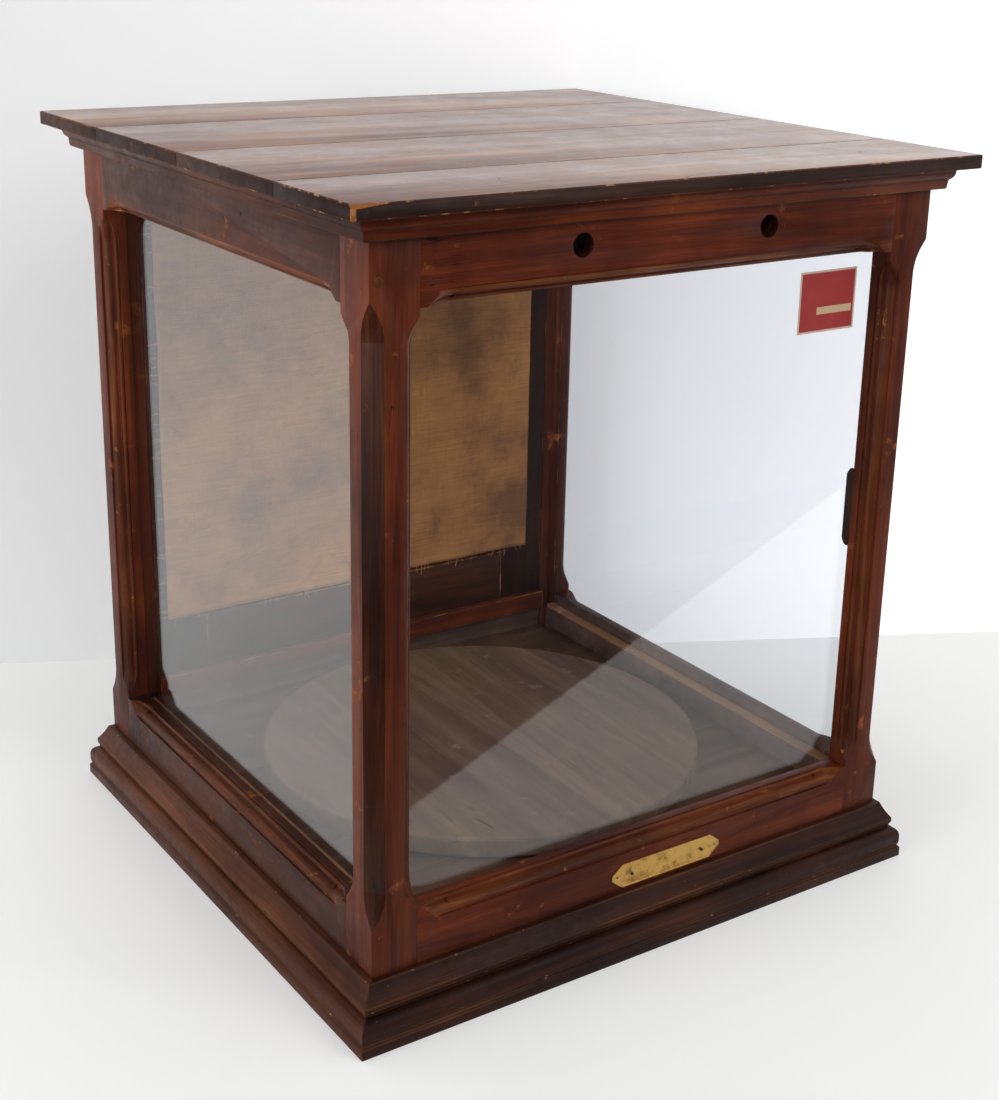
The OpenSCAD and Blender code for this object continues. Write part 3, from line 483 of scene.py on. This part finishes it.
# Their edges, darker where dirt lies in the gaps.
bare_arris = varnished_wood("bare_floor_edges", "X", "2a1e17", "46342a", "5d4738", "766050", 1.4,
                            rub=0.6, gloss=0.7, foot=1.0)
for node in ("floor_boards", "floor_bearers"):
    finish_piece(dressed_copy(node, 0.0006), node, "case", bare_floor, bare_arris)
# Unstained beads, a pale tan line along the foot of the side panes.
bead_wood = varnished_wood("bare_bead", "Y", "6e5138", "8f6f50", "a98866", "bb9b78", 4.4, rub=0.6,
                           gloss=0.65, foot=1.0, fade=(0.8, 1.15))
for node in ("beads_left", "beads_right"):
    finish_piece(dressed_copy(node, 0.0006), node, "case", bead_wood, bead_wood)
finish_piece(dressed_copy("beads_front", 0.0006), "beads_front", "case", moulding_stain["X"],
             moulding_arris["X"])
finish_piece(dressed_copy("corner_beads", 0.0004), "corner_beads", "case", case_stain["Z"],
             case_arris["Z"])
# Scrubbed wood, washed grey-tan and matt.
scrubbed = varnished_wood("scrubbed_board", "Y", "4e4036", "6a5849", "83705f", "95826f", 8.4,
                          rub=0.62, gloss=0.62, figure_mm=26, foot=1.0, fade=(0.85, 1.12))
finish_piece(dressed_copy("cheese_board", 0.0003, 60), "cheese_board", "round_board", scrubbed, scrubbed)
finish_piece(dressed_copy("post_peg", 0.0003), "post_peg", "case", moulding_stain["Y"], case_arris["Y"])


# The windows: old flat glass, 3 mm thick and nearly colourless, held in the rebates by the
# beads. Light passes it freely, so the inside stays clear; the eye sees its reflections.
glass, tree = new_material("old_flat_glass")
ray = add_node(tree, "ShaderNodeLightPath")
lit_through = add_node(tree, "ShaderNodeMath",
                       {0: ray.outputs["Is Shadow Ray"], 1: ray.outputs["Is Diffuse Ray"]},
                       operation="MAXIMUM")
solid = add_node(tree, "ShaderNodeMath", {1: lit_through.outputs[0]}, {0: 1.0}, operation="SUBTRACT")
pane_body = add_node(tree, "ShaderNodeBsdfPrincipled", {"Alpha": solid.outputs[0]},
                     {"Base Color": linear("f8fafd"), "Roughness": 0.0, "IOR": 1.48,
                      "Transmission Weight": 1.0})
add_node(tree, "ShaderNodeOutputMaterial", {"Surface": pane_body.outputs[0]})
for node in ("pane_front", "pane_left", "pane_right"):
    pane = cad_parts[node]
    pane.data.materials.clear()
    pane.data.materials.append(glass)


# The metal: a tarnished brass plate pinned to the bottom rail, turn button, screw and washer,
# and dark iron for the hinges, the centre pin, the woven gauze behind the vents and the plate
# that keeps the right-hand pane.
def old_metal(name, hex_text, tarnish, rough, metallic, level):
    """Cast or rolled metal, with tarnish in blotches of up to 14 mm where the noise passes the
    level."""
    material, tree = new_material(name)
    place = add_node(tree, "ShaderNodeTexCoord").outputs["Object"]
    blotch = add_node(tree, "ShaderNodeTexNoise", {"Vector": place},
                      {"Scale": 1000 / 14.3, "Detail": 7.0, "Roughness": 0.72})
    spread = add_node(tree, "ShaderNodeMapRange", {"Value": blotch.outputs[0]},
                      {"From Min": level, "From Max": level + 0.2})
    colour = add_node(tree, "ShaderNodeMix", {"Factor": spread.outputs[0]},
                      {"A": linear(hex_text), "B": linear(tarnish)}, data_type="RGBA")
    dull = add_node(tree, "ShaderNodeMapRange", {"Value": blotch.outputs[0]},
                    {"From Min": 0.3, "From Max": 0.7, "To Min": rough, "To Max": rough + 0.25})
    bump = add_node(tree, "ShaderNodeBump", {"Height": blotch.outputs[0]},
                    {"Strength": 0.3, "Distance": 0.0003})
    body = add_node(tree, "ShaderNodeBsdfPrincipled",
                    {"Base Color": colour.outputs[2], "Roughness": dull.outputs[0],
                     "Normal": bump.outputs[0]},
                    {"Metallic": metallic})
    add_node(tree, "ShaderNodeOutputMaterial", {"Surface": body.outputs[0]})
    return material


def standing_grid(name, width, height, columns, rows, middle):
    """A fine grid that stands upright across the case, built round its own middle."""
    bpy.ops.object.select_all(action="DESELECT")
    bpy.ops.mesh.primitive_grid_add(x_subdivisions=columns, y_subdivisions=rows, size=1.0)
    made = bpy.context.object
    made.name = name
    bpy.ops.object.mode_set(mode="EDIT")
    bpy.ops.transform.resize(value=(width, height, 1.0))
    bpy.ops.transform.rotate(value=math.radians(90), orient_axis="X", center_override=(0, 0, 0))
    bpy.ops.transform.translate(value=middle)
    bpy.ops.object.mode_set(mode="OBJECT")
    return made


# Brass, dull gold where it is rubbed and brown where it isn't. Iron, almost black, with a
# breath of rust.
brass = old_metal("tarnished_brass", "c8a05a", "7a5426", 0.36, 1.0, 0.5)
iron = old_metal("dark_iron", "38332f", "4a3326", 0.5, 0.8, 0.5)
for node, body, metal in (("name_plate", "case", brass), ("turn_button", "latch_button", brass),
                          ("turn_button_screw", "case", brass), ("pivot_washer", "case", brass),
                          ("pivot_pin", "case", iron), ("pane_clip", "case", iron),
                          ("hinge_leaves_post", "case", iron), ("hinge_leaves_door", "rear_door", iron),
                          ("hinge_pins", "case", iron)):
    finish_piece(dressed_copy(node, 0.0002), node, body, metal)

plate_points = [v.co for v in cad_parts["name_plate"].data.vertices]
plate_left, plate_right = min(p.x for p in plate_points), max(p.x for p in plate_points)
plate_front = min(p.y for p in plate_points)
plate_middle = (min(p.z for p in plate_points) + max(p.z for p in plate_points)) / 2
pin_radius, pin_height = 0.0014, 0.0012
for name, share in (("left", 0.174), ("right", 0.826)):
    bpy.ops.object.select_all(action="DESELECT")
    bpy.ops.mesh.primitive_cylinder_add(vertices=16, radius=pin_radius, depth=pin_height)
    pin = bpy.context.object
    pin.name = "plate_pin_" + name
    bpy.ops.object.mode_set(mode="EDIT")
    bpy.ops.transform.rotate(value=math.radians(90), orient_axis="X", center_override=(0, 0, 0))
    bpy.ops.transform.translate(value=(plate_left + share * (plate_right - plate_left), plate_front,
                                       plate_middle))
    bpy.ops.object.mode_set(mode="OBJECT")
    dome = pin.modifiers.new("domed", "BEVEL")
    dome.width = 0.0004
    dome.segments = 3
    bpy.ops.object.modifier_apply(modifier="domed")
    bpy.ops.object.shade_smooth_by_angle(angle=math.radians(50))
    pin.data.materials.append(iron)
    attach(pin, "case")

gauze_side, gauze_y, gauze_cells, wire = 0.036, -0.2351, 20, 0.0005
for side, middle in (("left", -vent_x), ("right", vent_x)):
    gauze = standing_grid("gauze_" + side, gauze_side, gauze_side, gauze_cells, gauze_cells,
                          (middle, gauze_y, vent_z))
    wires = gauze.modifiers.new("wires", "WIREFRAME")
    wires.thickness = wire
    bpy.ops.object.modifier_apply(modifier="wires")
    gauze.data.materials.append(iron)
    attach(gauze, "case")
    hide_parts("vent_gauze")


# The label on the front pane: a square of coated paper, printed plain red with a cream border
# and one cream band, stuck to the glass. The red has faded a little in soft patches.
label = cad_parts["paper_label"]
spans = [(min(v.co[axis] for v in label.data.vertices), max(v.co[axis] for v in label.data.vertices))
         for axis in (0, 2)]
(x_mid, x_half), (z_mid, z_half) = [((a + b) / 2, (b - a) / 2) for a, b in spans]
border = 0.0018
paper, tree = new_material("red_printed_paper")
place = add_node(tree, "ShaderNodeTexCoord").outputs["Object"]
parts = add_node(tree, "ShaderNodeSeparateXYZ", {0: place})
patchy = add_node(tree, "ShaderNodeTexNoise", {"Vector": place}, {"Scale": 1000 / 11.1, "Detail": 4.0})
red = add_node(tree, "ShaderNodeMix", {"Factor": patchy.outputs[0]},
               {"A": linear("a3262a"), "B": linear("b23a34")}, data_type="RGBA")
areas = []
for x, x_reach, z, z_reach in ((x_mid, x_half - border, z_mid, z_half - border),
                               (x_mid + 0.26 * x_half, 0.62 * x_half, z_mid - 0.3 * z_half, 0.12 * z_half)):
    in_width = add_node(tree, "ShaderNodeMath", {0: parts.outputs["X"]}, {1: x, 2: x_reach},
                        operation="COMPARE")
    in_height = add_node(tree, "ShaderNodeMath", {0: parts.outputs["Z"]}, {1: z, 2: z_reach},
                         operation="COMPARE")
    areas.append(add_node(tree, "ShaderNodeMath", {0: in_width.outputs[0], 1: in_height.outputs[0]},
                          operation="MULTIPLY"))
field, band = areas
printed = add_node(tree, "ShaderNodeMix", {"Factor": field.outputs[0], "B": red.outputs[2]},
                   {"A": linear("d9bda8")}, data_type="RGBA")
printed = add_node(tree, "ShaderNodeMix", {"Factor": band.outputs[0], "A": printed.outputs[2]},
                   {"B": linear("d8b890")}, data_type="RGBA")
sheet = add_node(tree, "ShaderNodeBsdfPrincipled", {"Base Color": printed.outputs[2]}, {"Roughness": 0.6})
add_node(tree, "ShaderNodeOutputMaterial", {"Surface": sheet.outputs[0]})
label.data.materials.clear()
label.data.materials.append(paper)


# The cloth on the inside of the rear door: old sacking tacked flat against the wood, brown with
# age and mildewed, its left and lower edges frayed into loose threads.

# Sacking: a warm brown with uneven ribs, quite matt, with grey-brown spots of mildew. The ribs
# are drawn 1.4 mm apart, a little coarser than the real threads, so that they show.
sacking, tree = new_material("old_sacking")
place = add_node(tree, "ShaderNodeTexCoord").outputs["Object"]
stain = add_node(tree, "ShaderNodeTexNoise", {"Vector": place},
                 {"Scale": 1000 / 143, "Detail": 7.0, "Roughness": 0.62})
cloth_ramp = add_node(tree, "ShaderNodeValToRGB", {0: stain.outputs[0]})
cloth_ramp.color_ramp.elements[0].position = 0.32
cloth_ramp.color_ramp.elements[0].color = linear("7a5537")
cloth_ramp.color_ramp.elements[1].position = 0.62
cloth_ramp.color_ramp.elements[1].color = linear("c28a50")
cloth_ramp.color_ramp.elements.new(0.45).color = linear("a87345")
slubs = []
for rib_mm in ((33.3, 33.3, 1.43), (2.0, 33.3, 25.0)):
    drawn = add_node(tree, "ShaderNodeMapping", {"Vector": place}, {"Scale": [1000 / mm for mm in rib_mm]})
    slubs.append(add_node(tree, "ShaderNodeTexNoise", {"Vector": drawn.outputs[0]},
                          {"Scale": 1.0, "Detail": 3.0, "Roughness": 0.6}).outputs[0])
weave = add_node(tree, "ShaderNodeMix", {"A": slubs[0], "B": slubs[1]}, {"Factor": 0.3})
tone = add_node(tree, "ShaderNodeMapRange", {"Value": weave.outputs[0]},
                {"From Min": 0.36, "From Max": 0.64, "To Min": 0.82, "To Max": 1.12})
woven = add_node(tree, "ShaderNodeMix", {"A": cloth_ramp.outputs[0], "B": tone.outputs[0]},
                 {"Factor": 1.0}, data_type="RGBA", blend_type="MULTIPLY")
mildew = add_node(tree, "ShaderNodeTexNoise", {"Vector": place},
                  {"Scale": 1000 / 47.6, "Detail": 8.0, "Roughness": 0.72, "Distortion": 0.6})
spots = add_node(tree, "ShaderNodeMapRange", {"Value": mildew.outputs[0]},
                 {"From Min": 0.56, "From Max": 0.74, "To Min": 0.0, "To Max": 0.75})
aged = add_node(tree, "ShaderNodeMix", {"Factor": spots.outputs[0], "A": woven.outputs[2]},
                {"B": linear("5c4836")}, data_type="RGBA")
cloth_bump = add_node(tree, "ShaderNodeBump", {"Height": weave.outputs[0]},
                      {"Strength": 0.6, "Distance": 0.0006})
cloth_body = add_node(tree, "ShaderNodeBsdfPrincipled",
                      {"Base Color": aged.outputs[2], "Normal": cloth_bump.outputs[0]}, {"Roughness": 0.9})
add_node(tree, "ShaderNodeOutputMaterial", {"Surface": cloth_body.outputs[0]})

cloth_left, cloth_right, cloth_foot, cloth_head, cloth_y = -0.225, 0.215, 0.1735, 0.590, 0.2434
cloth = standing_grid("sacking_panel", cloth_right - cloth_left, cloth_head - cloth_foot, 110, 104,
                      ((cloth_left + cloth_right) / 2, cloth_y, (cloth_foot + cloth_head) / 2))
folds = bpy.data.textures.new("cloth_folds", "CLOUDS")
folds.noise_scale = 0.06
puckers = cloth.modifiers.new("puckers", "DISPLACE")
puckers.texture = folds
puckers.direction = "Y"
puckers.strength = 0.0018
puckers.mid_level = 0.5
for axis in ("X", "Z"):
    ragged = cloth.modifiers.new("ragged_" + axis, "DISPLACE")
    ragged.texture = folds
    ragged.direction = axis
    ragged.strength = 0.003
body_of_cloth = cloth.modifiers.new("thickness", "SOLIDIFY")
body_of_cloth.thickness = 0.0006
body_of_cloth.offset = 0.0
for modifier in list(cloth.modifiers):
    bpy.ops.object.modifier_apply(modifier=modifier.name)
bpy.ops.object.shade_smooth()
cloth.data.materials.append(sacking)
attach(cloth, "rear_door")
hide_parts("cloth_panel")

# The loose threads: by turns one along the left edge and one along the lower edge.
thread_radius = 0.0003
chance = random.Random(12)
bpy.ops.object.select_all(action="DESELECT")
bpy.ops.mesh.primitive_cylinder_add(vertices=5, radius=thread_radius, depth=0.01)
threads = bpy.context.object
threads.name = "frayed_threads"
bpy.ops.object.mode_set(mode="EDIT")
bpy.ops.mesh.delete(type="VERT")
for count in range(84):
    length = chance.uniform(0.004, 0.013)
    lean = chance.uniform(-0.5, 0.5)
    if count % 2:
        spot = (cloth_left - 0.3 * length, cloth_y, chance.uniform(cloth_foot, cloth_head))
        turn = (0.0, math.radians(90) + lean, 0.0)
    else:
        spot = (chance.uniform(cloth_left, cloth_right), cloth_y, cloth_foot - 0.3 * length)
        turn = (0.0, lean, 0.0)
    bpy.ops.mesh.primitive_cylinder_add(vertices=5, radius=thread_radius, depth=length, location=spot,
                                        rotation=turn)
bpy.ops.object.mode_set(mode="OBJECT")
threads.data.materials.append(sacking)
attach(threads, "rear_door")


# Two empty nail holes, one in the face of the front left post and one in the left top rail:
# small and a little ragged at the rim, each a thin near-black disc that is painted shade for the
# inside of the hole.
painted_hole_shade, tree = new_material("nail_hole")
hole_body = add_node(tree, "ShaderNodeBsdfPrincipled", None,
                     {"Base Color": linear("120a07"), "Roughness": 0.9})
add_node(tree, "ShaderNodeOutputMaterial", {"Surface": hole_body.outputs[0]})
hole_radius, hole_depth = 0.0014, 0.0004
for name, spot, axis in (("nail_hole_post", (-0.2725, -case_half_y, 0.6539), "X"),
                         ("nail_hole_rail", (-case_half_x, -0.0654, 0.641), "Y")):
    bpy.ops.object.select_all(action="DESELECT")
    bpy.ops.mesh.primitive_cylinder_add(vertices=12, radius=hole_radius, depth=hole_depth)
    hole = bpy.context.object
    hole.name = name
    bpy.ops.object.mode_set(mode="EDIT")
    bpy.ops.mesh.select_all(action="SELECT")
    bpy.ops.transform.vertex_random(offset=0.0002, seed=3)
    bpy.ops.transform.rotate(value=math.radians(90), orient_axis=axis, center_override=(0, 0, 0))
    bpy.ops.transform.translate(value=spot)
    bpy.ops.object.mode_set(mode="OBJECT")
    hole.data.materials.append(painted_hole_shade)
    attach(hole, "case")
